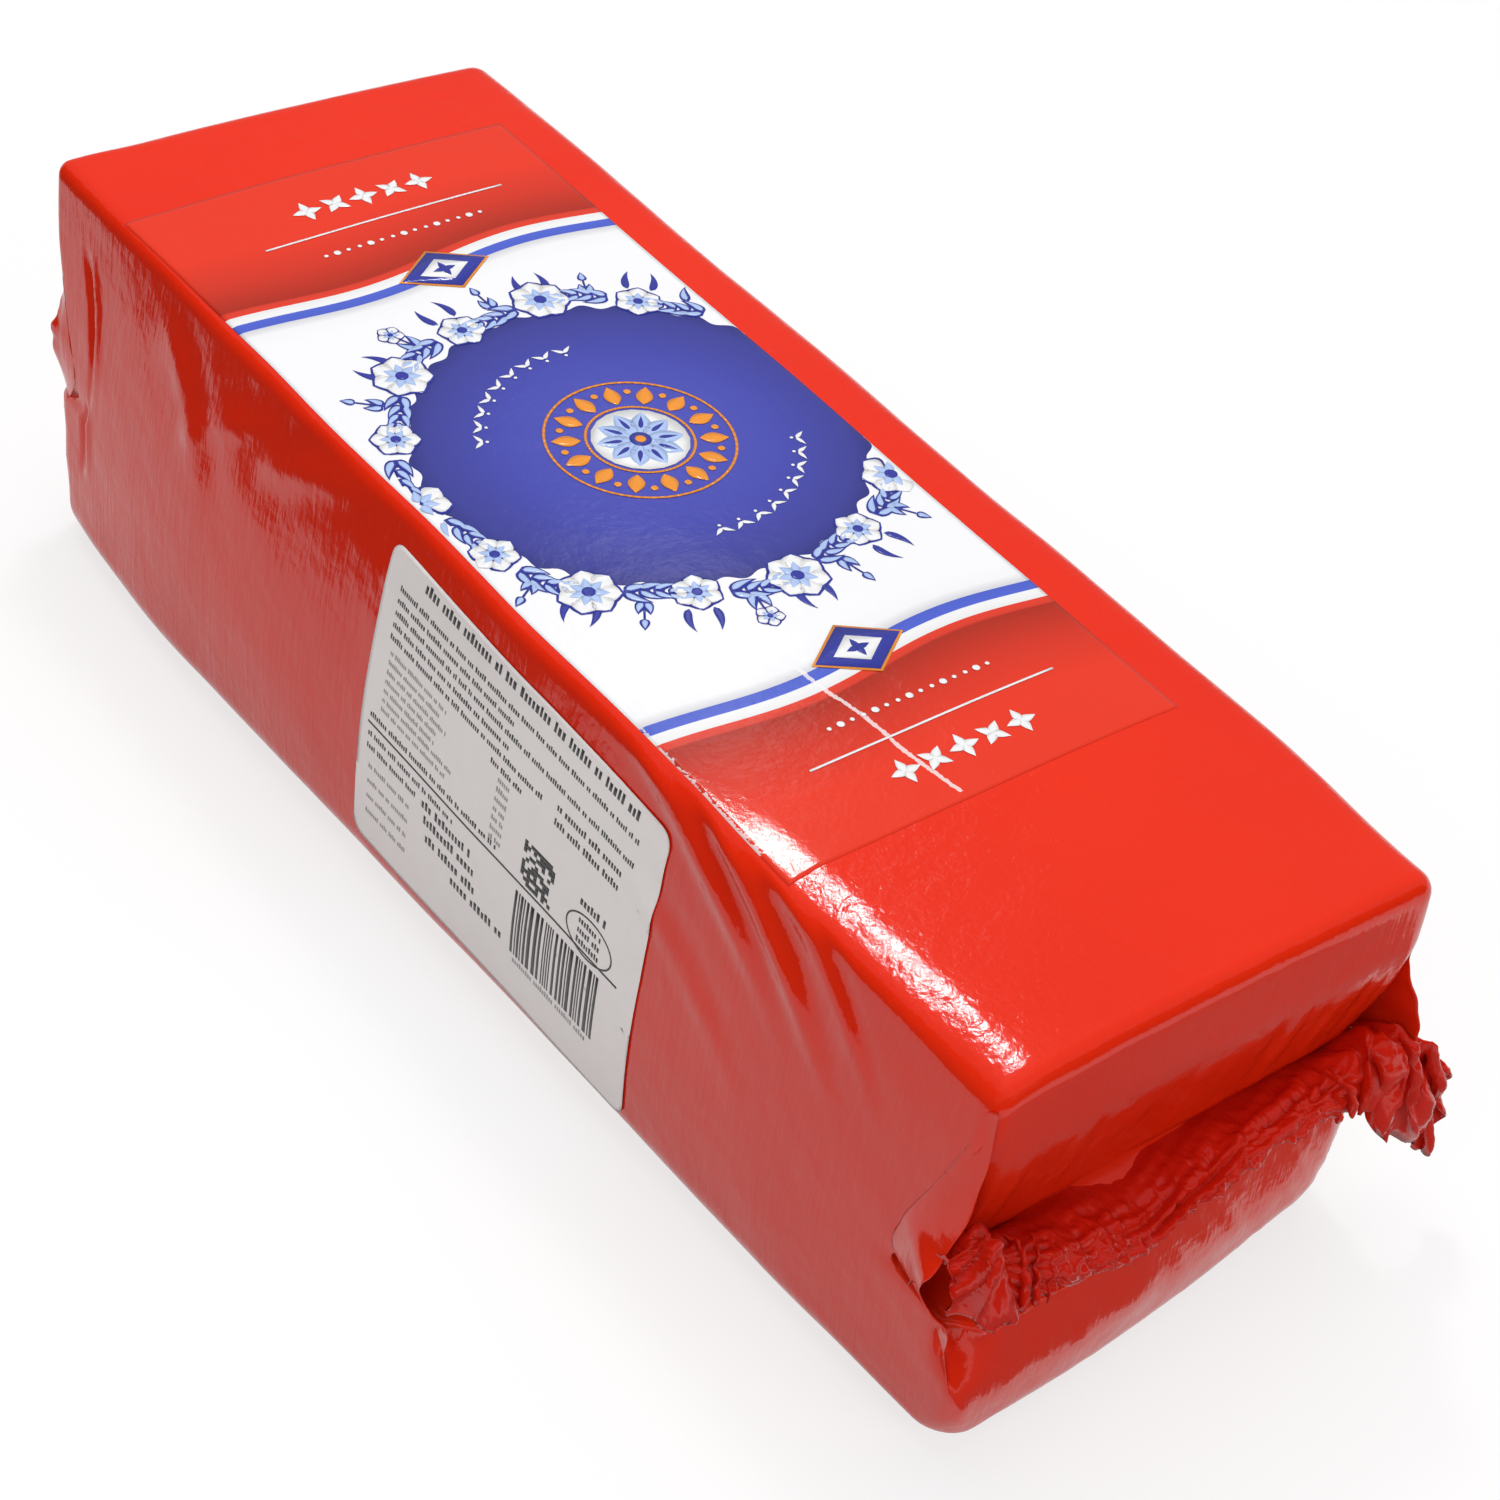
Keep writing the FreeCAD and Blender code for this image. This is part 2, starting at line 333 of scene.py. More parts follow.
# Tension folds on the left side, from the near corner to the far one: start (y, z),
# end (y, z), height and half width, in mm. A height below 0 is a crease.
side_folds = (
    (-52, 90, -100, 64, 1.2, 2.8),
    (-71, 92, -117, 60, 1.1, 2.6),
    (-92, 92, -128, 65, 0.6, 2.0),
    (-60, 64, -96, 40, 0.4, 3.0),
    (92, 60, 60, 82, 0.8, 3.0),
    (64, 71, 28, 85, 0.7, 3.5),
    (104, 80, 84, 50, 0.6, 4.0),
    (137, 74, 134, 42, -1.2, 1.2),
    (137, 39, 136, 22, -1.0, 1.3),
)


def fold_height(y, z):
    """Height of the tension folds at one point of the left side."""
    total = 0.0
    for start_y, start_z, stop_y, stop_z, height, reach in side_folds:
        run_y = stop_y - start_y
        run_z = stop_z - start_z
        length = math.hypot(run_y, run_z)
        from_y = y / mm - start_y
        from_z = z / mm - start_z
        along = (from_y * run_y + from_z * run_z) / (length * length)
        if not -0.2 < along < 1.2:
            continue
        bow = 0.25 * length * (0.25 - (along - 0.5) ** 2)
        across = (from_y * run_z - from_z * run_y) / length - bow
        envelope = fade(along, -0.15, 0.2) * (1 - fade(along, 0.5, 1.15))
        ridge = bell(across, 0, reach) - 0.5 * bell(across, 1.9 * reach, reach)
        total += height * envelope * ridge
    return total * mm


streak_height = 0.85 * mm
streak_scale = 270.0


def end_streaks(x, z):
    """Short creases in the lower panels, running down and outwards from the seam."""
    slant = Vector((x + 0.6 * z, 0.10 * (z - 0.6 * x), 3.0)) * streak_scale
    streaks = noise.noise(slant) + 0.4 * noise.noise(slant * 2.3)
    return streak_height * streaks * bell(z, 26 * mm, 14 * mm)


# How the sides bulge: a belly, a spread foot, and on the left side more or less
# cheese here and there along it.
belly_bulge = 2.5 * mm
foot_spread = 2.0 * mm
far_belly_loss = 1.6 * mm
far_bulge = 3.2 * mm
far_foot = 2.6 * mm
middle_foot = 0.9 * mm
near_left_taper = 2.2 * mm
near_right_taper = 2.6 * mm


def side_swelling(y, up, side):
    """How far a side bulges beyond its top edge."""
    belly = 1 - (2 * up - 1) ** 2
    swollen = belly_bulge * belly + foot_spread * (1 - up)
    if side > 0:
        return swollen - near_right_taper * fade(-y, 108 * mm, 148 * mm)
    swollen -= far_belly_loss * belly * fade(y, 85 * mm, 140 * mm)
    top_of_bulge = mix(0.96, 0.6, bell(y, 75 * mm, 45 * mm))
    swollen += far_bulge * (1 - fade(up, 0.45 * top_of_bulge, 1.0)) * bell(y, 72 * mm, 55 * mm)
    swollen += far_foot * (1 - up) ** 2 * bell(y, 115 * mm, 35 * mm)
    swollen += middle_foot * (1 - up) ** 1.5 * bell(y, -5 * mm, 30 * mm)
    return swollen - near_left_taper * (1 - up) * fade(-y, 105 * mm, block_half_length)


def shoulder_fall(y, z, across):
    """How far the film falls in along the top of the left side."""
    fall = (0.6 + 0.6 * unevenness(y * 30, 0, 0)) * mm
    fall *= 1 - fade(y, 90 * mm, 135 * mm)
    return fall * fade(z, 72 * mm, block_height - 2 * mm) * fade(-across, 0.3, 1.0)


def corner_hollows(x, y, z):
    """Pocket and notch in the film behind the ear of the near left corner."""
    near_left = fade(-x, 42 * mm, 49.9 * mm) * fade(-y, block_half_length - 7 * mm, block_half_length)
    pocket = fade(z, 36 * mm, 41 * mm) * (1 - fade(z, 54 * mm, 80 * mm))
    notch = fade(z, 20 * mm, 32 * mm) * (1 - fade(z, 33 * mm, 36 * mm))
    return near_left * (Vector((3.0, 6.5, 0)) * pocket + Vector((2.5, 5.5, 0)) * notch) * mm


end_reach = 24.0 * mm
far_end_shift, far_end_skew = -0.1 * mm, -2.2 * mm
slack_sag = 1.3 * mm
lump_scale = 22.0
lump_height, small_lump_height = 0.5 * mm, 0.16 * mm


def settle(x, y, z, lift=0.0):
    """Point of the film over one point of the square block."""
    place, facing = rounded_block(x, y, z, lift)
    front = y < 0
    side = 1 if place.x > 0 else -1
    across = place.x / block_half_width
    up = min(max(place.z / block_height, 0.0), 1.0)
    at_end = 1 - fade(block_half_length - abs(place.y), 0, end_reach)

    new_x = across * (side_width(place.y, side) + side_swelling(place.y, up, side))
    stand_out = end_relief(x, z, front) + end_streaks(x, z)
    new_y = place.y + (-1 if front else 1) * stand_out * at_end
    new_y += (far_end_shift + far_end_skew * across) * fade(place.y, 40 * mm, block_half_length)
    new_z = place.z + top_crown * (1 - across * across) * up
    slack_edge = fade(-place.x, 40 * mm, block_half_width) * fade(-place.y, 60 * mm, 100 * mm)
    new_z -= slack_sag * slack_edge * fade(place.z, 0.8 * block_height, block_height)
    placed = Vector((new_x, new_y, new_z))

    # Uneven cheese under the film.
    spot = Vector((x, y, z)) * lump_scale
    lumps = lump_height * noise.noise(spot)
    lumps += small_lump_height * noise.noise(spot * 3.1) * (1 - 0.7 * abs(facing.z))
    placed += facing * lumps * fade(new_z, 0, 6 * mm)
    if side < 0:
        placed.x += shoulder_fall(y, z, across) - fold_height(y, z) * abs(facing.x) ** 3
    return placed + corner_hollows(x, y, z)


def box_of_cells(cells):
    """Unit cube from -1 to 1, cut into cells along X, Y and Z."""
    shape = bmesh.new()
    bmesh.ops.create_cube(shape, size=2.0)
    for axis, count in enumerate(cells):
        edges = []
        for edge in shape.edges:
            run = edge.verts[1].co - edge.verts[0].co
            if abs(run[axis]) > 0.999 * run.length:
                edges.append(edge)
        bmesh.ops.subdivide_edges(shape, edges=edges, cuts=count - 1, use_grid_fill=True)
    return shape


def finished_piece(name, shape, material, slot, *nodes):
    """Object made from a bmesh, smooth, riding with the loaf."""
    for face in shape.faces:
        face.smooth = True
    mesh = bpy.data.meshes.new(name)
    shape.to_mesh(mesh)
    shape.free()
    piece = bpy.data.objects.new(name, mesh)
    bpy.context.scene.collection.objects.link(piece)
    mesh.materials.append(material)
    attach(piece, "root")
    if nodes:
        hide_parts(*nodes)


def crowd_to_ends(share, evenness):
    """Moves cell lines towards both ends of a run from -1 to 1."""
    return evenness * share + (1 - evenness) * (1.5 * share - 0.5 * share**3)


film_shape = box_of_cells(film_cells)
for vertex in film_shape.verts:
    x = block_half_width * crowd_to_ends(vertex.co.x, 0.6)
    y = block_half_length * crowd_to_ends(vertex.co.y, 0.5)
    z = block_height * (vertex.co.z + 1) / 2
    vertex.co = settle(x, y, z)

film_colour = (0.80, 0.026, 0.003, 1)
film_shadow_colour = (0.70, 0.016, 0.003, 1)
film_roughness = 0.13
film_bump = 0.45
film_ior = 1.5


def noise_of(tree, coords, scale, detail=2.0):
    """Output of one noise texture."""
    sockets = {"Vector": coords, "Scale": scale, "Detail": detail}
    return add_node(tree, "ShaderNodeTexNoise", sockets).outputs["Fac"]


def film_relief(tree, coords, strength):
    """Relief of shrink film: a soft orange peel, fine upright wrinkles over it, and crinkles."""
    upright = add_node(tree, "ShaderNodeMapping", {"Vector": coords, "Scale": (800.0, 800.0, 50.0)})
    layers = (
        (0.0006, {"Vector": coords, "Scale": 130.0, "Detail": 2.0, "Roughness": 0.5}),
        (0.0002, {
            "Vector": upright.outputs[0], "Scale": 1.0, "Detail": 3.0,
            "Roughness": 0.55, "Distortion": 0.4,
        }),
        (0.00005, {"Vector": coords, "Scale": 1100.0, "Detail": 2.0}),
    )
    relief = None
    for depth, pattern in layers:
        height = add_node(tree, "ShaderNodeTexNoise", pattern).outputs["Fac"]
        sockets = {"Strength": strength, "Distance": depth, "Height": height}
        if relief:
            sockets["Normal"] = relief
        relief = add_node(tree, "ShaderNodeBump", sockets).outputs[0]
    return relief


def film_material(name, colour, shadow_colour, roughness):
    """Glossy red film, a little uneven in colour."""
    material, tree, shader = new_material(name)
    coords = object_coords(tree)
    patches = noise_of(tree, coords, 18.0, 3.0)
    tree.links.new(mixed(tree, patches, shadow_colour, colour), shader.inputs["Base Color"])
    shader.inputs["Roughness"].default_value = roughness
    shader.inputs["IOR"].default_value = film_ior
    tree.links.new(film_relief(tree, coords, film_bump), shader.inputs["Normal"])
    return material


red_film = film_material("red_film", film_colour, film_shadow_colour, film_roughness)
finished_piece("film_loaf", film_shape, red_film, "red_film", "wrapped_loaf")

# ---------------------------------------------------------------------------
# Crimped seals: at each end the bag is pressed shut along a fin of film. The
# hot bar left it gathered, so its free edge runs in curls and small pleats.
# ---------------------------------------------------------------------------
fin_thickness = 0.5 * mm
front_cells, back_cells = (620, 30), (400, 14)
fin_colour = (0.68, 0.016, 0.004, 1)
fin_shadow_colour = (0.50, 0.009, 0.004, 1)
fin_roughness = 0.15
doubled_film = film_material("doubled_film", fin_colour, fin_shadow_colour, fin_roughness)


def between(stations, share):
    """Smooth value at a share of the way along a row of (share, value) stations."""
    for (start, low), (stop, high) in zip(stations, stations[1:]):
        if share <= stop:
            return mix(low, high, fade(share, start, stop))
    return stations[-1][1]


def add_grid(shape, cells):
    """Flat grid from -0.5 to 0.5 in X and Y; returns its vertices."""
    return bmesh.ops.create_grid(shape, x_segments=cells[0], y_segments=cells[1], size=0.5)["verts"]


def thicken(shape, thickness):
    """Closes sheets into thin solids that face outwards."""
    bmesh.ops.solidify(shape, geom=shape.faces[:], thickness=thickness)
    bmesh.ops.recalc_face_normals(shape, faces=shape.faces)


def film_strip(name, shape_at, cells, thickness, material):
    """Thin closed strip of film; shape_at gives the point for shares along and across it."""
    shape = bmesh.new()
    for vertex in add_grid(shape, cells):
        vertex.co = shape_at(vertex.co.x + 0.5, vertex.co.y + 0.5)
    thicken(shape, thickness)
    finished_piece(name, shape, material, "red_film")


def bent(root, crest, rim, share):
    """Point of a fin that rises from its root, bends over at its crest and hangs to its rim."""
    control = crest * 2 - (root + rim) / 2
    return root * (1 - share) ** 2 + control * 2 * share * (1 - share) + rim * share**2


# Near seal, in mm: places across, each with the depth and height of its root, crest and rim.
front_stations = (
    (-56, (-146.0, 42), (-153.5, 56), (-158.0, 45)),
    (-50, (-143.5, 41), (-154.0, 58), (-160.0, 43)),
    (-40, (-141.5, 40), (-154.0, 49.5), (-160.0, 42)),
    (-24, (-141.0, 40), (-154.0, 42.5), (-159.0, 38)),
    (-8, (-141.0, 39), (-153.5, 39.0), (-158.0, 35.5)),
    (3, (-141.0, 40), (-153.5, 42), (-157.5, 38)),
    (15, (-141.0, 41), (-153.5, 45), (-157.0, 41)),
    (30, (-141.5, 42), (-153.5, 47), (-156.5, 43)),
    (41, (-142.5, 43), (-153.0, 48), (-156.5, 40)),
    (46, (-141.0, 43), (-153.0, 51), (-156.5, 36)),
    (51, (-141.0, 43), (-153.5, 49), (-157.0, 29)),
    (59, (-146.5, 37), (-154.0, 42), (-156.5, 19)),
    (68, (-150.0, 30), (-154.5, 33), (-155.5, 14)),
)

# Height of its ruffles at places across, and their pitch.
ruffle_stations = (
    (-56, 1.2), (-48, 1.7), (-36, 0.8), (-10, 0.3), (25, 0.4), (40, 1.3), (50, 1.7), (69, 1.5),
)
ruffle_pitch = 8.0


def at_station(x, part):
    """Depth and height of the root, crest or rim of the near seal at one place across."""
    depth = between([(station[0], station[part][0]) for station in front_stations], x)
    height = between([(station[0], station[part][1]) for station in front_stations], x)
    return Vector((x, depth, height))


def crumpling(x, reach):
    """How far the near seal is crumpled: long folds, then crosswise ones in the tab, and crumbs."""
    lengthwise = unevenness(x * 0.09 + reach * 0.05, reach * 0.5 + x * 0.1, 0.0)
    crosswise = unevenness(x * 0.34 + reach * 0.2, reach * 0.09, 6.0)
    folds = mix(2.0 * lengthwise, 1.7 * crosswise, fade(x, 28, 44))
    crumbs = (0.8 + 0.4 * fade(x, 44, 56)) * unevenness(x * 0.45, reach * 0.4, 4.0)
    return folds + crumbs + 0.5 * unevenness(x * 1.1, reach * 0.9, 11.0)


def front_fin(along, across):
    """Point of the near seal: bent over the lower panel, with a gathered tab at its right end."""
    x = mix(front_stations[0][0], front_stations[-1][0], along)
    root, crest, rim = (at_station(x, part) for part in (1, 2, 3))
    point = bent(root, crest, rim, across)
    step = 0.02
    ahead = bent(root, crest, rim, min(across + step, 1.0))
    behind = bent(root, crest, rim, max(across - step, 0.0))
    normal = (ahead - behind).normalized().cross(Vector((1, 0, 0)))
    reach = across * ((crest - root).length + (rim - crest).length)
    free = fade(across, 0.1, 0.5)
    ruffle = between(ruffle_stations, x)
    drift = 1.8 * unevenness(x * 0.1, reach * 0.04, 3.3) - 0.05 * reach * fade(x, 30, 60)
    phase = 2 * math.pi * (x / ruffle_pitch + drift)
    point += normal * ruffle * math.sin(phase) * free
    point += Vector((1, 0, 0)) * ruffle * 1.15 * math.cos(phase) * free
    point += normal * crumpling(x, reach) * (0.2 + 0.8 * free)
    point.z += 1.6 * unevenness(x * 0.21, 7.7, 0) * fade(across, 0.5, 1.0)
    return point * mm


film_strip("front_seal", front_fin, front_cells, fin_thickness, doubled_film)

# Far seal, in mm: its ends across, how deep its root lies, and its length and
# tilt at shares of the way along it.
back_ends = (-50, 54)
back_root_depth = 9.0
back_lengths = ((0, 10.5), (0.3, 16.5), (0.7, 17.5), (1, 15.5))
back_tilts = ((0, 25), (0.5, 5), (1, -40))
back_ruffle_pitch = 9.5


def back_fin(along, across):
    """Point of the far seal, which is flatter and plainer."""
    x = mix(*back_ends, along)
    root = Vector((x, block_half_length / mm - back_root_depth, seam_height(x * mm) / mm - 1.0))
    tilt = math.radians(between(back_tilts, along))
    outward = Vector((0, math.cos(tilt), math.sin(tilt)))
    normal = Vector((0, -math.sin(tilt), math.cos(tilt)))
    phase = 2 * math.pi * (x / back_ruffle_pitch + 0.8 * unevenness(x * 0.07, 5, 8.1))
    crumbs = 0.8 * unevenness(x * 0.5, across * 1.5, 9.0) * (0.3 + 0.7 * across)
    point = root + outward * between(back_lengths, along) * across
    point += normal * (1.3 * math.sin(phase) * across**1.3 + crumbs)
    point += Vector((1, 0, 0)) * 1.2 * math.cos(phase) * across**1.3
    return point * mm


film_strip("back_seal", back_fin, back_cells, fin_thickness, doubled_film)

# ---------------------------------------------------------------------------
# Ears: at the corners the spare width of the bag lies flattened into a flap
# that runs down from the top edge to the seam and ends in a curled point.
# ---------------------------------------------------------------------------
ear_thickness = 0.6 * mm
ear_cells = (110, 26)
root_lift = 0.05 * mm


def on_curve(points, share):
    """Point at a share of the way along a smooth curve through the points."""
    span = share * (len(points) - 1)
    first = min(int(span), len(points) - 2)
    t = span - first
    p1, p2 = Vector(points[first]), Vector(points[first + 1])
    p0 = Vector(points[first - 1]) if first else p1 * 2 - p2
    p3 = Vector(points[first + 2]) if first + 2 < len(points) else p2 * 2 - p1
    bend = 2 * p0 - 5 * p1 + 4 * p2 - p3
    twist = 3 * p1 - p0 - 3 * p2 + p3
    return 0.5 * (2 * p1 + (p2 - p0) * t + bend * t**2 + twist * t**3)


def ear(name, root, edge, belly, curl, seed):
    """Flap from a root line (y, z) on a side of the loaf to its free edge (x, y, z), in mm.

    It bellies out in its middle, and its rim curls and ripples.
    """
    side = math.copysign(block_half_width, edge[0][0])
    on_film = [settle(side, y * mm, z * mm, root_lift) / mm for y, z in root]

    def shape_at(along, across):
        point = on_curve(on_film, along).lerp(on_curve(edge, along), across)
        open_middle = math.sin(math.pi * along)
        rim = fade(across, 0.6, 1.0)
        ripple = unevenness(along * 9.0, across * 1.2, seed)
        point += Vector(belly) * math.sin(math.pi * across) * open_middle
        point += Vector(curl) * (rim * 0.5 + ripple * (0.2 + rim)) * open_middle
        return point * mm
    film_strip(name, shape_at, ear_cells, ear_thickness, red_film)


ear(
    "front_left_ear",
    (
        (-150.3, 86), (-149, 76), (-146.5, 66), (-144, 57),
        (-142.5, 50), (-144.5, 42), (-148, 33), (-150.8, 21),
    ),
    (
        (-49.9, -152.2, 86), (-50.2, -152.6, 75), (-52.0, -152.8, 65), (-56.4, -152.8, 55.5),
        (-60.2, -152.6, 51), (-57.5, -153.4, 43), (-53.2, -154.5, 36), (-50.5, -151.6, 21.5),
    ),
    (0.2, 0, 0), (-0.2, -0.9, 0.3), 1.7,
)
ear(
    "front_right_ear",
    ((-148, 87), (-145, 73), (-141, 59), (-140, 47), (-144, 37)),
    (
        (48.8, -150.6, 86.5), (49.6, -151.0, 74), (50.6, -151.6, 65),
        (56.6, -153, 50), (55, -154, 42),
    ),
    (-0.6, -0.6, 0), (0.5, -0.5, 0), 5.1,
)
ear(
    "back_left_ear",
    ((149.5, 64), (149, 57), (148, 50), (147.5, 42), (148.5, 32)),
    (
        (-49.9, 151.5, 63), (-50.6, 152.2, 56), (-52.0, 153.0, 49.5),
        (-51.2, 153.2, 41), (-48.8, 152.5, 32),
    ),
    (-0.2, 0.2, 0), (-0.5, 0.7, 0), 3.9,
)
ear(
    "back_right_ear",
    ((146, 78), (143.5, 64), (142, 50), (144, 38)),
    ((51.5, 151.0, 76), (55.0, 152.0, 62), (58.0, 153.5, 49), (54.5, 155.0, 39)),
    (0.4, 0.3, 0), (0.5, 0.8, 0), 8.3,
)

# ---------------------------------------------------------------------------
# Printed sheet: glossy paper laid on the cheese before the film was shrunk over
# it. It has red ends, tricolour bands, a white field and a blue medallion with a
# scalloped edge, and its near end is creased.
# ---------------------------------------------------------------------------
sheet_low, sheet_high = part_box("top_label")
sheet_lift = 0.08 * mm
sheet_thickness = 0.05 * mm
sheet_cells = (90, 220)
sheet_middle = 14.5 * mm
band_start, shading_stop = 60 * mm, 112 * mm
band_wave_length = 72 * mm
band_rise = 1.8 * mm
medallion_centre = (0.0, 17.0 * mm)
medallion_radius = 44.5 * mm
medallion_scallops = 36
scallop_depth = 0.7 * mm
print_roughness = 0.16
print_bump = 0.25


def on_top(x, y, lift):
    """Point of the film's top over a place given in the loaf's own measures."""
    width = side_width(y, 1 if x > 0 else -1)
    return settle(x / width * block_half_width, y, block_height, lift)


def printed_material(name):
    """Ink on paper under gloss film; returns the material, its tree, shader and coordinates."""
    material, tree, shader = new_material(name)
    shader.inputs["Roughness"].default_value = print_roughness
    coords = object_coords(tree)
    tree.links.new(film_relief(tree, coords, print_bump), shader.inputs["Normal"])
    return material, tree, shader, coords


def sum_of(tree, operation, *values):
    """Output of one Math node."""
    return add_node(tree, "ShaderNodeMath", dict(enumerate(values)), operation=operation).outputs[0]


def colour_row(tree, share, row, interpolation):
    """Colours along a share, from (stop, colour) pairs."""
    node = add_node(tree, "ShaderNodeValToRGB", {"Fac": share})
    ramp = node.color_ramp
    ramp.interpolation = interpolation
    while len(ramp.elements) < len(row):
        ramp.elements.new(1.0)
    for element, (stop, colour) in zip(ramp.elements, row):
        element.position = stop
        element.color = (*colour, 1)
    return node.outputs["Color"]


sheet_print, tree, shader, coords = printed_material("sheet_print")
place = add_node(tree, "ShaderNodeSeparateXYZ", {0: coords}).outputs
turns = sum_of(tree, "MULTIPLY", place["X"], -2 * math.pi / band_wave_length)
waved = sum_of(tree, "MULTIPLY_ADD", sum_of(tree, "SINE", turns), band_rise, place["Y"])
from_middle = sum_of(tree, "ABSOLUTE", sum_of(tree, "SUBTRACT", waved, sheet_middle))
end_share = add_node(tree, "ShaderNodeMapRange", {
    "Value": from_middle, "From Min": band_start, "From Max": shading_stop,
}).outputs[0]
white_field, blue_band, white_band = (0.83, 0.83, 0.85), (0.075, 0.12, 0.58), (0.80, 0.80, 0.80)
red_band, red_end = (0.76, 0.045, 0.02), (0.74, 0.034, 0.012)
stripes = colour_row(tree, end_share, (
    (0.0, white_field), (0.135, blue_band), (0.185, white_band), (0.235, red_band), (0.275, red_end),
), "CONSTANT")

# The bands throw a soft printed shadow on the white field and on the red ends.
shade = colour_row(tree, end_share, (
    (0.0, (1, 1, 1)),
    (0.09, (0.97, 0.97, 0.97)),
    (0.134, (0.72, 0.72, 0.74)),
    (0.14, (0.9, 0.9, 0.92)),
    (0.20, (1, 1, 1)),
    (0.27, (0.85, 0.85, 0.85)),
    (0.28, (0.52, 0.6, 0.6)),
    (0.45, (0.80, 0.85, 0.9)),
    (0.65, (1, 1, 1)),
), "LINEAR")
fields = mixed(tree, 1.0, stripes, shade, "MULTIPLY")

across = sum_of(tree, "SUBTRACT", place["X"], medallion_centre[0])
along = sum_of(tree, "SUBTRACT", place["Y"], medallion_centre[1])
distance = sum_of(tree, "SQRT", sum_of(
    tree, "ADD", sum_of(tree, "MULTIPLY", across, across), sum_of(tree, "MULTIPLY", along, along),
))
angle = sum_of(tree, "ARCTAN2", along, across)
scallop = sum_of(tree, "COSINE", sum_of(tree, "MULTIPLY", angle, float(medallion_scallops)))
rim = sum_of(tree, "MULTIPLY_ADD", scallop, scallop_depth, medallion_radius)
inside = sum_of(tree, "LESS_THAN", distance, rim)
blue_share = sum_of(tree, "DIVIDE", distance, medallion_radius)
blues = colour_row(tree, blue_share, (
    (0.0, (0.075, 0.085, 0.45)),
    (0.6, (0.055, 0.062, 0.38)),
    (0.93, (0.042, 0.045, 0.27)),
    (1.0, (0.03, 0.033, 0.20)),
), "LINEAR")
printed = mixed(tree, inside, fields, blues)

# Worn ink along the crease of the near end, and pale specks of the same colour along the sheet's left
# edge towards its near end.
crease_start = Vector((-15.5, -48.0)) * mm
crease_stop = Vector((-10.0, -93.0)) * mm
crease_half_width = 0.45 * mm
crease_wander = 1.5 * mm
pale_edge_start, pale_edge_stop = -87 * mm, -46 * mm
pale_edge_reach, pale_edge_gap = 3.6 * mm, 0.8 * mm
pale_share = 0.7
pale_paper = (0.85, 0.80, 0.80, 1)
specks = noise_of(tree, coords, 1500.0, 3.0)
crease_run = crease_stop - crease_start
lean = math.atan2(crease_run.y, crease_run.x)
turned = add_node(tree, "ShaderNodeMapping", {
    "Vector": coords, "Location": (*crease_start, 0.0), "Rotation": (0, 0, lean),
}, vector_type="TEXTURE").outputs[0]
crease_place = add_node(tree, "ShaderNodeSeparateXYZ", {0: turned}).outputs
wander = sum_of(tree, "MULTIPLY_ADD", noise_of(tree, coords, 60.0), 2 * crease_wander, -crease_wander)
from_crease = sum_of(tree, "ABSOLUTE", sum_of(tree, "ADD", crease_place["Y"], wander))
crease_width = sum_of(tree, "MULTIPLY", specks, 2 * crease_half_width)
on_line = sum_of(tree, "LESS_THAN", from_crease, crease_width)
past_start = sum_of(tree, "GREATER_THAN", crease_place["X"], 0.0)
before_stop = sum_of(tree, "LESS_THAN", crease_place["X"], crease_run.length)
creased = sum_of(tree, "MULTIPLY", on_line, sum_of(tree, "MULTIPLY", past_start, before_stop))
edge_reach = sum_of(tree, "MULTIPLY_ADD", specks, pale_edge_reach, sheet_low.x - pale_edge_gap)
near_part = sum_of(
    tree, "MULTIPLY",
    sum_of(tree, "GREATER_THAN", place["Y"], pale_edge_start),
    sum_of(tree, "LESS_THAN", place["Y"], pale_edge_stop),
)
pale_edge = sum_of(tree, "MULTIPLY", sum_of(tree, "LESS_THAN", place["X"], edge_reach), near_part)
crease_and_pale_edge = sum_of(tree, "MULTIPLY", sum_of(tree, "MAXIMUM", creased, pale_edge), pale_share)
tree.links.new(mixed(tree, crease_and_pale_edge, printed, pale_paper), shader.inputs["Base Color"])

sheet_shape = bmesh.new()
for vertex in add_grid(sheet_shape, sheet_cells):
    x = mix(sheet_low.x, sheet_high.x, vertex.co.x + 0.5)
    y = mix(sheet_low.y, sheet_high.y, vertex.co.y + 0.5)
    vertex.co = on_top(x, y, sheet_lift)
thicken(sheet_shape, sheet_thickness)
finished_piece("top_sheet", sheet_shape, sheet_print, "printed_sheet", "top_label")

# ---------------------------------------------------------------------------
# Ornament of the sheet: printed in flat inks, each a thin layer on the paper.
# A wreath of round blossoms and leaf sprays runs round the medallion, with a
# rosette in its middle, a lozenge on each band and a plain title row at each end.
# ---------------------------------------------------------------------------
ink_thickness = 0.03 * mm
ink_step = 0.04 * mm
thin_ink = 0.86
sheet_margin = 0.4
ink_colours = {
    "dark_blue": (0.035, 0.045, 0.33, 1),
    "pale_blue": (0.42, 0.55, 0.86, 1),
    "white": (0.86, 0.86, 0.87, 1),
    "orange": (0.85, 0.30, 0.035, 1),
}
ink_lifts = {
    "dark_blue": 0.18 * mm, "pale_blue": 0.22 * mm, "white": 0.22 * mm, "orange": 0.22 * mm,
}
ink_layers = {name: bmesh.new() for name in ink_colours}


def stamp(layer, cells, place_of, raised=0):
    """Small flat shape in one ink; place_of turns its shares into a place in mm.

    A shape that would hang off the sheet is left out.
    """
    shape = ink_layers[layer]
    made = add_grid(shape, cells)
    fits = True
    for vertex in made:
        x, y = place_of(vertex.co.x + 0.5, vertex.co.y * 2)
        fits = fits and sheet_low.x < (x - sheet_margin) * mm and (x + sheet_margin) * mm < sheet_high.x
        vertex.co = (x * mm, y * mm, ink_lifts[layer] + raised * ink_step)
    if not fits:
        bmesh.ops.delete(shape, geom=made, context="VERTS")


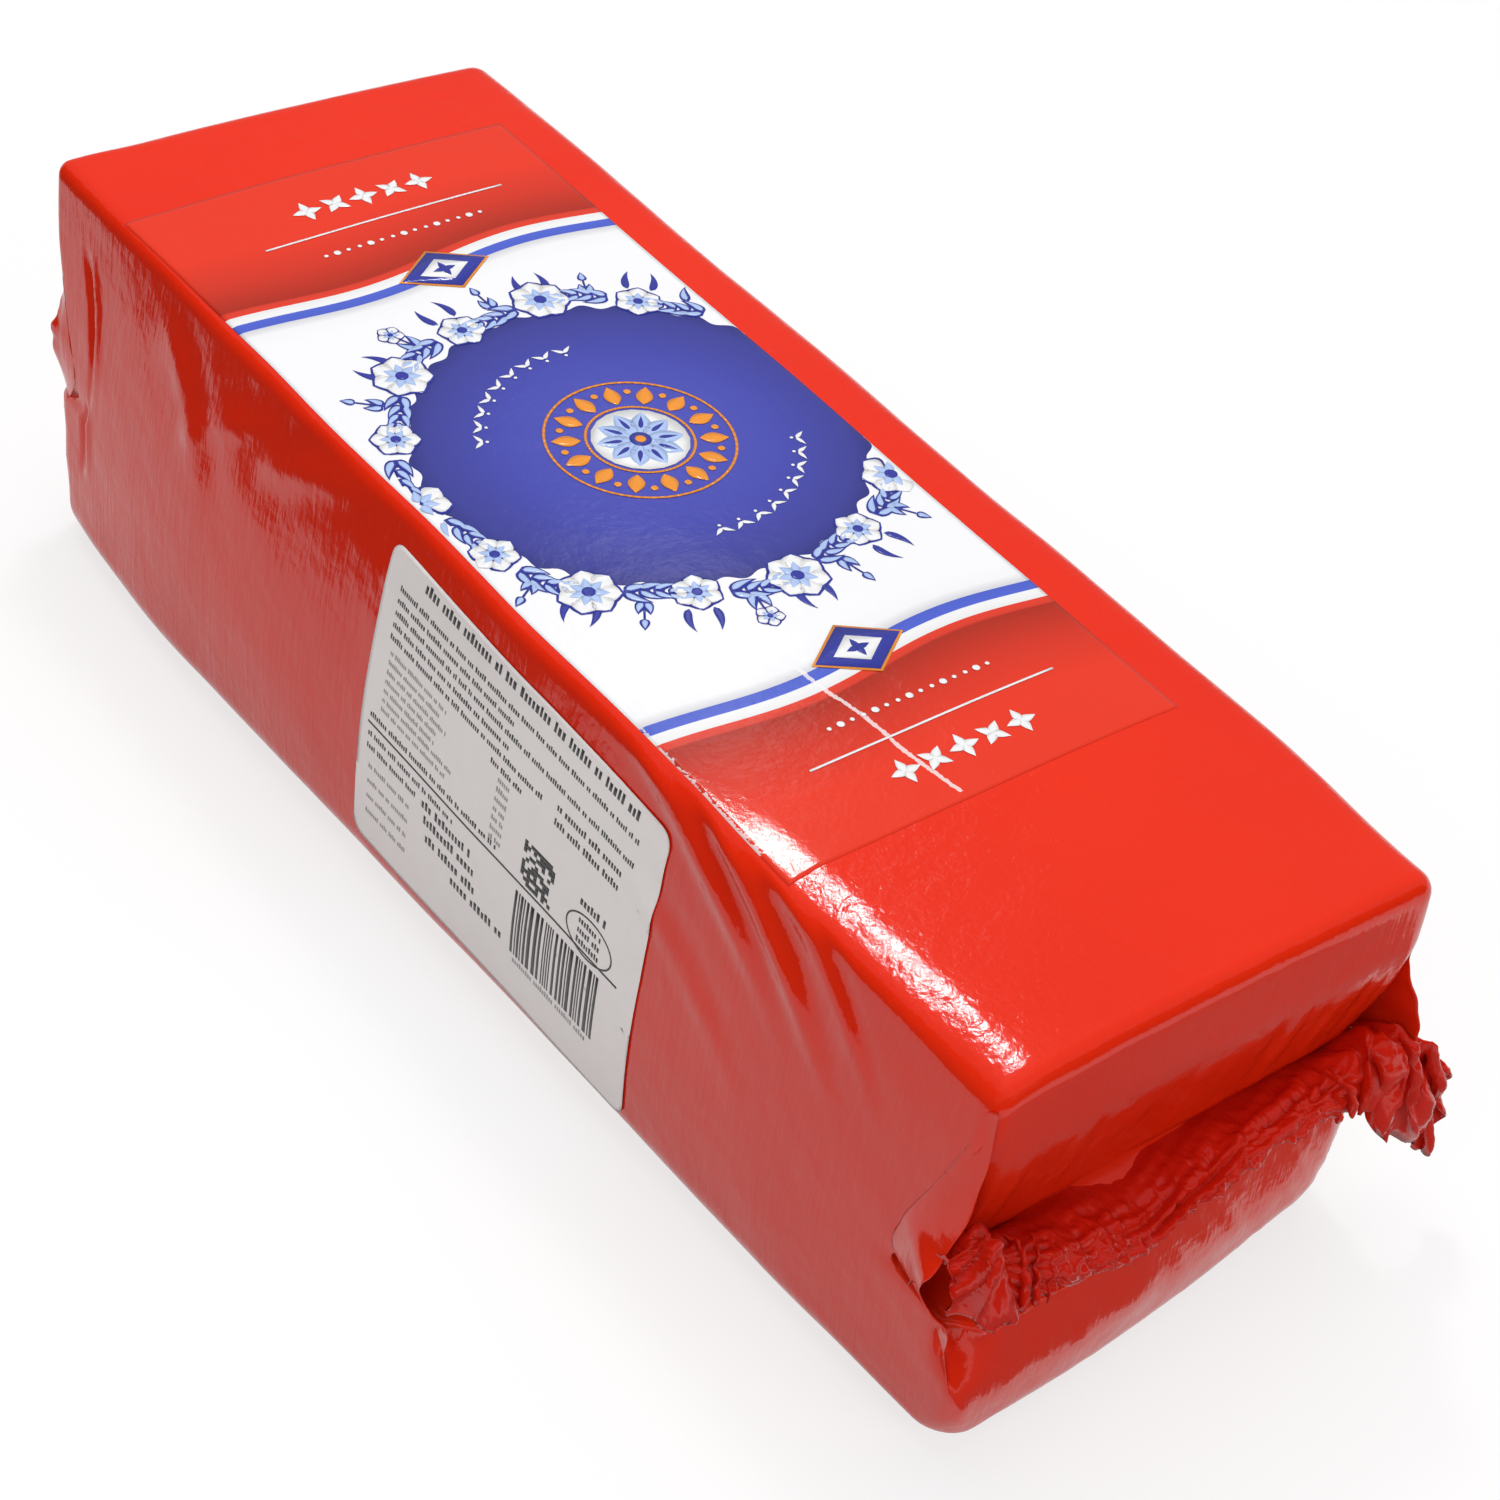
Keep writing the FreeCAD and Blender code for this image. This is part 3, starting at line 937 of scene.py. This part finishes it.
def petal(layer, root, angle, length, width, bend=0.0, fullness=0.6, raised=0):
    """Pointed petal or leaf from its root, bent sideways by an angle over its length."""
    def place_of(share, side):
        half = width / 2 * math.sin(math.pi * share**fullness) * side
        turn = angle + bend * share
        run = length * share
        return (
            root[0] + run * math.cos(turn) - half * math.sin(turn),
            root[1] + run * math.sin(turn) + half * math.cos(turn),
        )
    stamp(layer, (8, 3), place_of, raised)


def disc(layer, centre, radius, raised=0):
    """Round dot: a square grid pressed into a circle."""
    def place_of(share, side):
        x = share * 2 - 1
        return (
            centre[0] + radius * x * math.sqrt(1 - side * side / 2),
            centre[1] + radius * side * math.sqrt(1 - x * x / 2),
        )
    stamp(layer, (5, 5), place_of, raised)


def rule(layer, start, stop, width, raised=0):
    """Straight line."""
    length = math.dist(start, stop)
    run = ((stop[0] - start[0]) / length, (stop[1] - start[1]) / length)

    def place_of(share, side):
        half = width / 2 * side
        return (
            mix(start[0], stop[0], share) - run[1] * half,
            mix(start[1], stop[1], share) + run[0] * half,
        )
    stamp(layer, (max(2, round(length / 3)), 1), place_of, raised)


def lozenge(layer, centre, half_length, half_width, raised):
    """Diamond that lies across the sheet."""
    def place_of(share, side):
        run = share * 2 - 1
        return centre[0] + half_length * run, centre[1] + half_width * side * (1 - abs(run))
    stamp(layer, (10, 3), place_of, raised)


def beyond(root, angle, reach):
    return root[0] + reach * math.cos(angle), root[1] + reach * math.sin(angle)


def angles_round(count, start=0.0):
    return [start + 2 * math.pi * number / count for number in range(count)]


def blossom(centre, radius, petals, turn):
    """Round blossom drawn in blue line on white, with a blue eye."""
    for angle in angles_round(petals, turn):
        petal("dark_blue", centre, angle, radius, radius * 0.95, fullness=1.5)
    for angle in angles_round(petals, turn):
        root = beyond(centre, angle, radius * 0.1)
        petal("white", root, angle, radius * 0.82, radius * 0.72, fullness=1.5)
        petal("pale_blue", root, angle, radius * 0.5, radius * 0.3, raised=1)
    disc("dark_blue", centre, radius * 0.2, raised=3)


def leaf(root, angle, length, width, bend=0.0):
    """Leaf drawn in blue line, pale inside."""
    petal("dark_blue", root, angle, length, width, bend)
    inner_root = beyond(root, angle, length * 0.12)
    petal("pale_blue", inner_root, angle, length * 0.74, width * 0.56, bend)


wreath_random = random.Random(7)
wreath_blossoms = 15
wreath_radius = 47.0
blossom_radii = (5.2, 6.6)
spray_radius = 47.5
spray_leaves = 4
leaf_length, leaf_width = 6.4, 2.5
stem_root = 48.5
stem_width = 0.45


def spray(centre, start, stop, inward):
    """Leaf spray that follows the wreath between two angles."""
    turn = math.copysign(1, stop - start)
    for number in range(spray_leaves):
        share = (number + 0.5) / spray_leaves
        angle = mix(start, stop, share)
        reach = spray_radius + 1.5 * math.sin(share * math.pi) * (-1 if inward else 1)
        root = beyond(centre, angle, reach)
        along = angle + turn * math.pi / 2
        length = leaf_length - 2.4 * share + wreath_random.uniform(-0.4, 0.4)
        for lean in (-0.75, 0.75):
            leaf(root, along + lean, length, leaf_width - 0.8 * share, bend=-0.5 * lean)
        tip = beyond(centre, mix(start, stop, (number + 1.3) / spray_leaves), reach)
        rule("dark_blue", root, tip, stem_width)


def stem_with_leaves(centre, angle, tall):
    """Short stem that points out of the wreath, with two leaves and a small blossom or a bud."""
    height = wreath_random.uniform(7.5, 10.5) if tall else wreath_random.uniform(5.0, 7.5)
    root = beyond(centre, angle, stem_root)
    tip = beyond(root, angle, height)
    rule("dark_blue", root, tip, stem_width)
    for lean in (-0.8, 0.8):
        leaf(beyond(root, angle, 1.2), angle + lean, height * 0.62, 2.3, bend=-0.6 * lean)
    if tall:
        blossom(tip, 3.0, 5, angle)
    else:
        leaf(tip, angle, 3.2, 2.0)


centre = (medallion_centre[0] / mm, medallion_centre[1] / mm)
step = 2 * math.pi / wreath_blossoms
for number in range(wreath_blossoms):
    angle = step * (number + 0.3)
    odd = number % 2
    spray(centre, angle + 0.10, angle + step * 0.80, odd)
    stem_with_leaves(centre, angle + step * 0.5, number % 3 == 1)
    blossom(beyond(centre, angle, wreath_radius + 1.5 * odd), blossom_radii[odd], 6 + odd, angle)
    for lean in (-0.5, 0.4):
        root = beyond(centre, angle + lean * 0.1, wreath_radius + 4.5)
        petal("dark_blue", root, angle + lean, 6.5, 1.7, bend=-lean)

# Rosette: orange petals between two rings, round a white flower with blue shading.
rosette_petals = 14
ring_radii = (10.6, 18.6)
ring_parts = 72
flower_radius = 9.7
flower_petals = 10
for angle in angles_round(rosette_petals):
    petal("orange", beyond(centre, angle, 11.6), angle, 5.8, 3.4, fullness=0.9)
    disc("orange", beyond(centre, angle + math.pi / rosette_petals, 15.6), 0.75)
for radius in ring_radii:
    for angle in angles_round(ring_parts):
        part_end = angle + 2 * math.pi / (ring_parts - 1)
        rule("orange", beyond(centre, angle, radius), beyond(centre, part_end, radius), 0.55)
disc("white", centre, flower_radius)
for angle in angles_round(flower_petals, math.pi / flower_petals):
    petal("pale_blue", centre, angle, 8.8, 4.2, fullness=1.2, raised=1)
    petal("dark_blue", beyond(centre, angle, 3.6), angle, 4.0, 1.0, raised=3)
disc("dark_blue", centre, 2.2, raised=4)
disc("orange", centre, 1.1, raised=4)

# Short garlands of white sprigs inside the medallion, on two sides of the rosette.
garland_radius = 30.5
garland_step = 0.15
for side in (-1, 1):
    for number in range(-4, 5):
        angle = side * math.pi / 2 + garland_step * number + 0.5
        root = beyond(centre, angle, garland_radius)
        for lean in (0.9, -0.9):
            petal("white", root, angle + lean, 2.6, 0.9)
        disc("white", beyond(root, angle + math.pi, 0.9), 0.35)

# Each red end: a row of stars, a rule and a row of dots. A lozenge sits on the band.
title_x = -2.0
end_rows = (98.5, 90.0, 83.0, 68.0)
star_pitch, dot_pitch = 6.6, 2.6
for side in (1, -1):
    stars_y, rule_y, dots_y, band_y = (sheet_middle / mm + side * row for row in end_rows)
    rule("white", (title_x - 28, rule_y), (title_x + 28, rule_y), 0.5)
    for number in range(-2, 3):
        for angle in angles_round(4, math.pi / 4 * (number % 2)):
            petal("white", (title_x + star_pitch * number, stars_y), angle, 3.3, 1.9)
    for number in range(-7, 8):
        disc("white", (title_x + dot_pitch * number, dots_y), 0.75 if number % 3 == 0 else 0.45)
    for colour, half_length, half_width, raised in (
        ("orange", 10.6, 7.4, 0), ("dark_blue", 9.8, 6.7, 3), ("white", 5.6, 3.9, 4),
    ):
        lozenge(colour, (title_x, band_y), half_length, half_width, raised)
    for angle in angles_round(4):
        petal("dark_blue", (title_x, band_y), angle, 2.6, 1.4, raised=7)

for name, shape in ink_layers.items():
    for vertex in shape.verts:
        vertex.co = on_top(*vertex.co)
    thicken(shape, ink_thickness)
    ink, tree, shader, coords = printed_material("ink_" + name)
    colour = ink_colours[name]
    thin = tuple(thin_ink * part for part in colour[:3]) + (1,)
    mottled = mixed(tree, noise_of(tree, coords, 350.0), thin, colour)
    tree.links.new(mottled, shader.inputs["Base Color"])
    finished_piece("print_" + name, shape, ink, "printed_sheet")

# ---------------------------------------------------------------------------
# Side sticker: white paper with rounded corners, stuck on the film and printed
# in black. It follows the film's waves and its edge stands off a little.
# ---------------------------------------------------------------------------
sticker_low, sticker_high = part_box("side_label")
sticker_lift = 0.3 * mm
sticker_thickness = 0.25 * mm
sticker_shift = 0.8 * mm
sticker_cells = (88, 72)
sticker_size = (90.0 * mm, 72.5 * mm)
sticker_turn = math.radians(2)
sticker_corner = 3.2 * mm
paper_light, paper_shade = (0.96, 0.90, 0.885, 1), (0.91, 0.845, 0.83, 1)
paper_roughness = 0.24


def on_side(along, up, lift):
    """Point of the left side for a place on the sticker, measured from its middle."""
    turn_y = along * math.cos(sticker_turn) - up * math.sin(sticker_turn)
    turn_z = along * math.sin(sticker_turn) + up * math.cos(sticker_turn)
    middle_y = (sticker_low.y + sticker_high.y) / 2 + sticker_shift
    middle_z = (sticker_low.z + sticker_high.z) / 2
    return settle(-block_half_width, middle_y + turn_y, middle_z + turn_z, lift)


sticker_paper, tree, shader = new_material("sticker_paper")
coords = object_coords(tree)
fibres = noise_of(tree, coords, 260.0, 4.0)
tree.links.new(mixed(tree, fibres, paper_shade, paper_light), shader.inputs["Base Color"])
shader.inputs["Roughness"].default_value = paper_roughness
fibre_bump = add_node(tree, "ShaderNodeBump", {"Strength": 0.3, "Distance": 0.0001, "Height": fibres})
tree.links.new(fibre_bump.outputs[0], shader.inputs["Normal"])

sticker_shape = bmesh.new()
for vertex in add_grid(sticker_shape, sticker_cells):
    along = vertex.co.x * sticker_size[0]
    up = vertex.co.y * sticker_size[1]
    inner_x = sticker_size[0] / 2 - sticker_corner
    inner_z = sticker_size[1] / 2 - sticker_corner
    over = Vector((max(abs(along) - inner_x, 0), max(abs(up) - inner_z, 0)))
    # Each square corner of the grid is pressed into an arc.
    if over.x > 0 and over.y > 0:
        over = over * max(over.x, over.y) / over.length
        along = math.copysign(inner_x + over.x, along)
        up = math.copysign(inner_z + over.y, up)
    vertex.co = on_side(along, up, sticker_lift)
thicken(sticker_shape, sticker_thickness)
finished_piece("side_sticker", sticker_shape, sticker_paper, "sticker_paper", "side_label")

# Print of the sticker: rows of small blocks stand for its small type, with a
# rule, a square block code, a bar code and an oval mark. Nothing can be read.
type_random = random.Random(21)
print_lift = sticker_lift + 0.04 * mm
print_thickness = 0.03 * mm
type_roughness = 0.4
print_inks = {"black": (0.03, 0.028, 0.03, 1), "grey": (0.36, 0.34, 0.34, 1)}
print_shapes = {name: bmesh.new() for name in print_inks}


def print_patch(ink, cells, place_of):
    """Flat patch of ink; place_of gives the column and row of its shares.

    Columns and rows are in mm from the sticker's top corner at the far end.
    """
    for vertex in add_grid(print_shapes[ink], cells):
        column, row = place_of(vertex.co.x + 0.5, 0.5 - vertex.co.y)
        along = sticker_size[0] / 2 - column * mm
        up = sticker_size[1] / 2 - row * mm
        vertex.co = on_side(along, up, print_lift)


def block(ink, column, row, width, height):
    cells = (max(1, round(width / 4)), max(1, round(height / 4)))
    print_patch(ink, cells, lambda share, down: (column + width * share, row + height * down))


def type_row(ink, start, stop, row, height):
    """Row of word-like runs of small blocks."""
    column = start
    while column < stop:
        for _ in range(type_random.randint(2, 9)):
            tall = type_random.random() < 0.3
            width = height * type_random.uniform(0.36, 0.52)
            if column + width < stop:
                block(ink, column, row - 0.3 * height * tall, width, height * (1 + 0.3 * tall))
            column += width + 0.28 * height
        column += 0.6 * height


# Heading and small type above the rule. All places are columns and rows, in mm.
heading_height, small_height = 1.7, 0.95
type_row("black", 12, 81, 2.2, heading_height)
for row, stop in ((7.4, 83), (10.2, 44), (13.0, 83), (15.8, 44), (18.6, 56)):
    type_row("black", 5, stop, row, small_height)
type_row("black", 40, 50, 21.6, small_height)
for row in (17.0, 20.4):
    type_row("black", 60, 80, row, 1.2)
for number in range(7):
    row = 22.0 + 2.3 * number
    type_row("grey", 6, 6 + type_random.uniform(14, 24), row, 0.8)
    type_row("grey", 43, 47, row + 2.0, 0.9)

# The rule, and the type below it.
block("black", 2.5, 41.6, 82, 0.5)
for row, stop in ((39.2, 46), (44.0, 32), (47.2, 20)):
    type_row("black", 3, stop, row, 1.0)
for row, start in ((47.0, 22), (50.6, 23), (54.8, 24), (58.4, 33)):
    type_row("black", start, start + 17, row, 1.6)
for row in (52.0, 56.0, 60.0, 64.0):
    type_row("grey", 4, 18, row, 0.9)

# Square block code and bar code.
code_column, code_row, code_cell = 53.5, 30.5, 0.95
for cell_column in range(10):
    for cell_row in range(11):
        if type_random.random() < 0.55:
            column = code_column + code_cell * cell_column
            block("black", column, code_row + code_cell * cell_row, code_cell, code_cell)
bar_column, bar_stop = 53.0, 79.0
bar_row, bar_height = 44.0, 16.5
while bar_column < bar_stop:
    bar = type_random.choice((0.35, 0.35, 0.7, 1.0))
    block("black", bar_column, bar_row, bar, bar_height)
    bar_column += bar + type_random.choice((0.35, 0.5, 0.8))
type_row("grey", 54, 78, 61.6, 1.0)
type_row("black", 71, 79, 30.6, 1.4)

# Oval mark.
oval_centre, oval_radii, oval_line = (75, 38), (7.2, 4.8), 0.4
print_patch("black", (48, 1), lambda share, down: (
    oval_centre[0] + (oval_radii[0] - oval_line * down) * math.cos(2 * math.pi * share),
    oval_centre[1] + (oval_radii[1] - oval_line * down) * math.sin(2 * math.pi * share),
))
for row in (35.0, 37.4, 39.8):
    type_row("black", 71.5, 78.5, row, 1.1)

for name, shape in print_shapes.items():
    thicken(shape, print_thickness)
    ink, tree, shader = new_material("sticker_" + name)
    coords = object_coords(tree)
    colour = print_inks[name]
    faded = tuple(part + 0.05 for part in colour[:3]) + (1,)
    speckled = mixed(tree, noise_of(tree, coords, 900.0), colour, faded)
    tree.links.new(speckled, shader.inputs["Base Color"])
    shader.inputs["Roughness"].default_value = type_roughness
    finished_piece("sticker_print_" + name, shape, ink, "sticker_paper")
